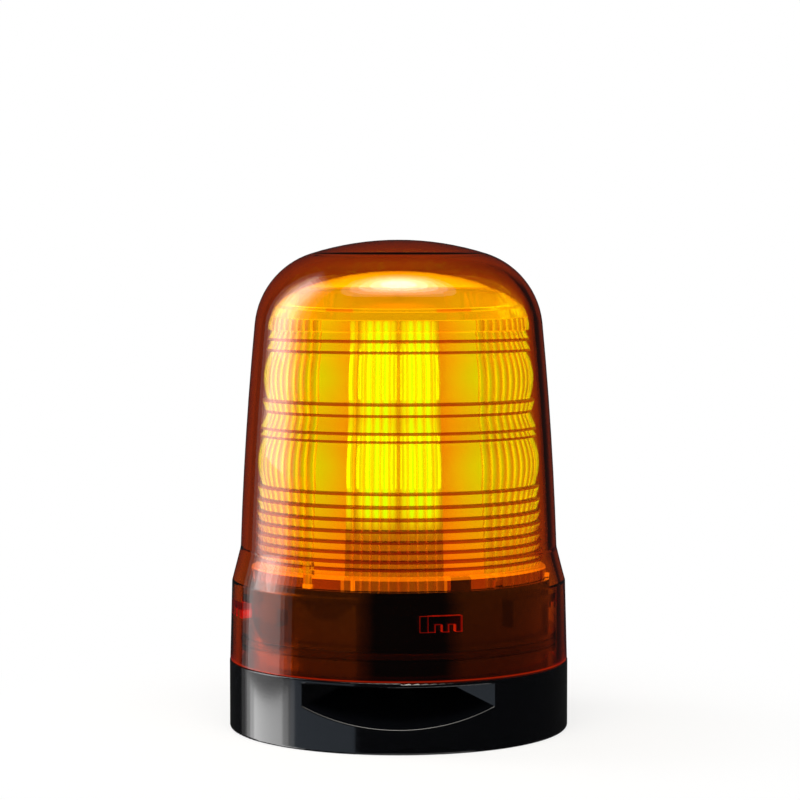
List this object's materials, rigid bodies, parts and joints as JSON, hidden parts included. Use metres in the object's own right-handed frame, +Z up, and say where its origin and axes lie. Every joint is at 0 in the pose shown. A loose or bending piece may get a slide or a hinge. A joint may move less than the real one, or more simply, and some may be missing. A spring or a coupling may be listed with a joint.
{
  "type": "signal beacon",
  "caption": "Round surface-mounted signal beacon: amber twist-off globe over a ringed, fluted inner lens and a lit lamp tower, on a glossy black base with a scooped sound outlet.",
  "frame": {"origin": "centre of the base's underside, on the surface that it is mounted on", "axes": "+Z up along the beacon's axis, -Y to the front where the sound outlet is, +X to the right as seen from the front"},
  "size_m": [0.1, 0.1, 0.1435],
  "materials": {
    "amber_globe": "clear amber polycarbonate, polished",
    "amber_lens": "clear amber polycarbonate, moulded prisms",
    "black_housing": "glossy black moulded plastic",
    "seal_rubber": "satin black rubber",
    "black_cover": "fine matt black moulded plastic",
    "gasket_rubber": "matt dark rubber",
    "insert_brass": "turned brass",
    "screw_steel": "zinc-plated steel",
    "green_board": "green solder mask",
    "capacitor_sleeve": "shrunk black sleeve",
    "inductor_core": "sintered ferrite",
    "chip_resin": "matt moulding resin",
    "terminal_plastic": "satin black moulded plastic",
    "terminal_metal": "tinned brass",
    "switch_plastic": "satin red moulded plastic",
    "slider_plastic": "satin white moulded plastic",
    "trimmer_plastic": "satin blue moulded plastic",
    "rotor_plastic": "satin pale moulded plastic",
    "buzzer_plastic": "matt black moulded plastic",
    "disc_brass": "rolled brass",
    "foam_rubber": "closed-cell foam",
    "strap_steel": "zinc-plated sheet",
    "header_plastic": "satin natural nylon",
    "wire_sleeve": "extruded red sleeve",
    "white_plastic": "satin white moulded plastic",
    "white_board": "white solder mask",
    "lamp_resin": "clear yellow silicone dome"
  },
  "bodies": {
    "base": {"base_housing": "black_housing", "neck_seal": "seal_rubber", "bottom_cover": "black_cover", "mounting_gasket": "gasket_rubber", "threaded_inserts": "insert_brass", "cover_screws": "screw_steel", "driver_board": "green_board", "board_screws": "screw_steel", "capacitors": "capacitor_sleeve", "inductor": "inductor_core", "board_chips": "chip_resin", "terminal_block": "terminal_plastic", "terminal_plates": "terminal_metal", "terminal_screws": "screw_steel", "switch_body": "switch_plastic", "trimmer_body": "trimmer_plastic", "buzzer_case": "buzzer_plastic", "buzzer_disc": "disc_brass", "buzzer_gasket": "foam_rubber", "buzzer_strap": "strap_steel", "buzzer_screws": "screw_steel", "buzzer_header": "header_plastic", "buzzer_plug": "header_plastic", "buzzer_wires": "wire_sleeve", "hub_header": "header_plastic", "hub_plug": "header_plastic", "lamp_header": "header_plastic", "lamp_plug": "header_plastic", "lamp_wires": "wire_sleeve", "lamp_tower": "white_plastic", "tower_screws": "screw_steel", "hub_board": "white_board", "lamp_board_1": "white_board", "lamp_board_2": "white_board", "lamp_board_3": "white_board", "lamp_board_4": "white_board", "lamps": "lamp_resin", "tower_cap": "white_plastic", "cap_screw": "screw_steel", "inner_lens": "amber_lens"},
    "globe_cover": {"globe": "amber_globe"},
    "slider_1": {"switch_slider_1": "slider_plastic"},
    "slider_2": {"switch_slider_2": "slider_plastic"},
    "slider_3": {"switch_slider_3": "slider_plastic"},
    "slider_4": {"switch_slider_4": "slider_plastic"},
    "volume_rotor": {"trimmer_rotor": "rotor_plastic"}
  },
  "joints": [
    {"name": "globe_twist", "type": "hinge", "parent": "base", "child": "globe_cover", "pos_m": [0, 0, 0.0325], "axis": [0, 0, 1], "range_deg": [0, 20]},
    {"name": "switch_slide_1", "type": "slide", "parent": "base", "child": "slider_1", "axis": [0, 1, 0], "range_m": [0, 0.0016]},
    {"name": "switch_slide_2", "type": "slide", "parent": "base", "child": "slider_2", "axis": [0, 1, 0], "range_m": [0, 0.0016]},
    {"name": "switch_slide_3", "type": "slide", "parent": "base", "child": "slider_3", "axis": [0, 1, 0], "range_m": [0, 0.0016]},
    {"name": "switch_slide_4", "type": "slide", "parent": "base", "child": "slider_4", "axis": [0, 1, 0], "range_m": [0, 0.0016]},
    {"name": "volume_turn", "type": "hinge", "parent": "base", "child": "volume_rotor", "pos_m": [0.01, -0.013, 0.008], "axis": [0, 0, 1], "range_deg": [-120, 120]}
  ]
}
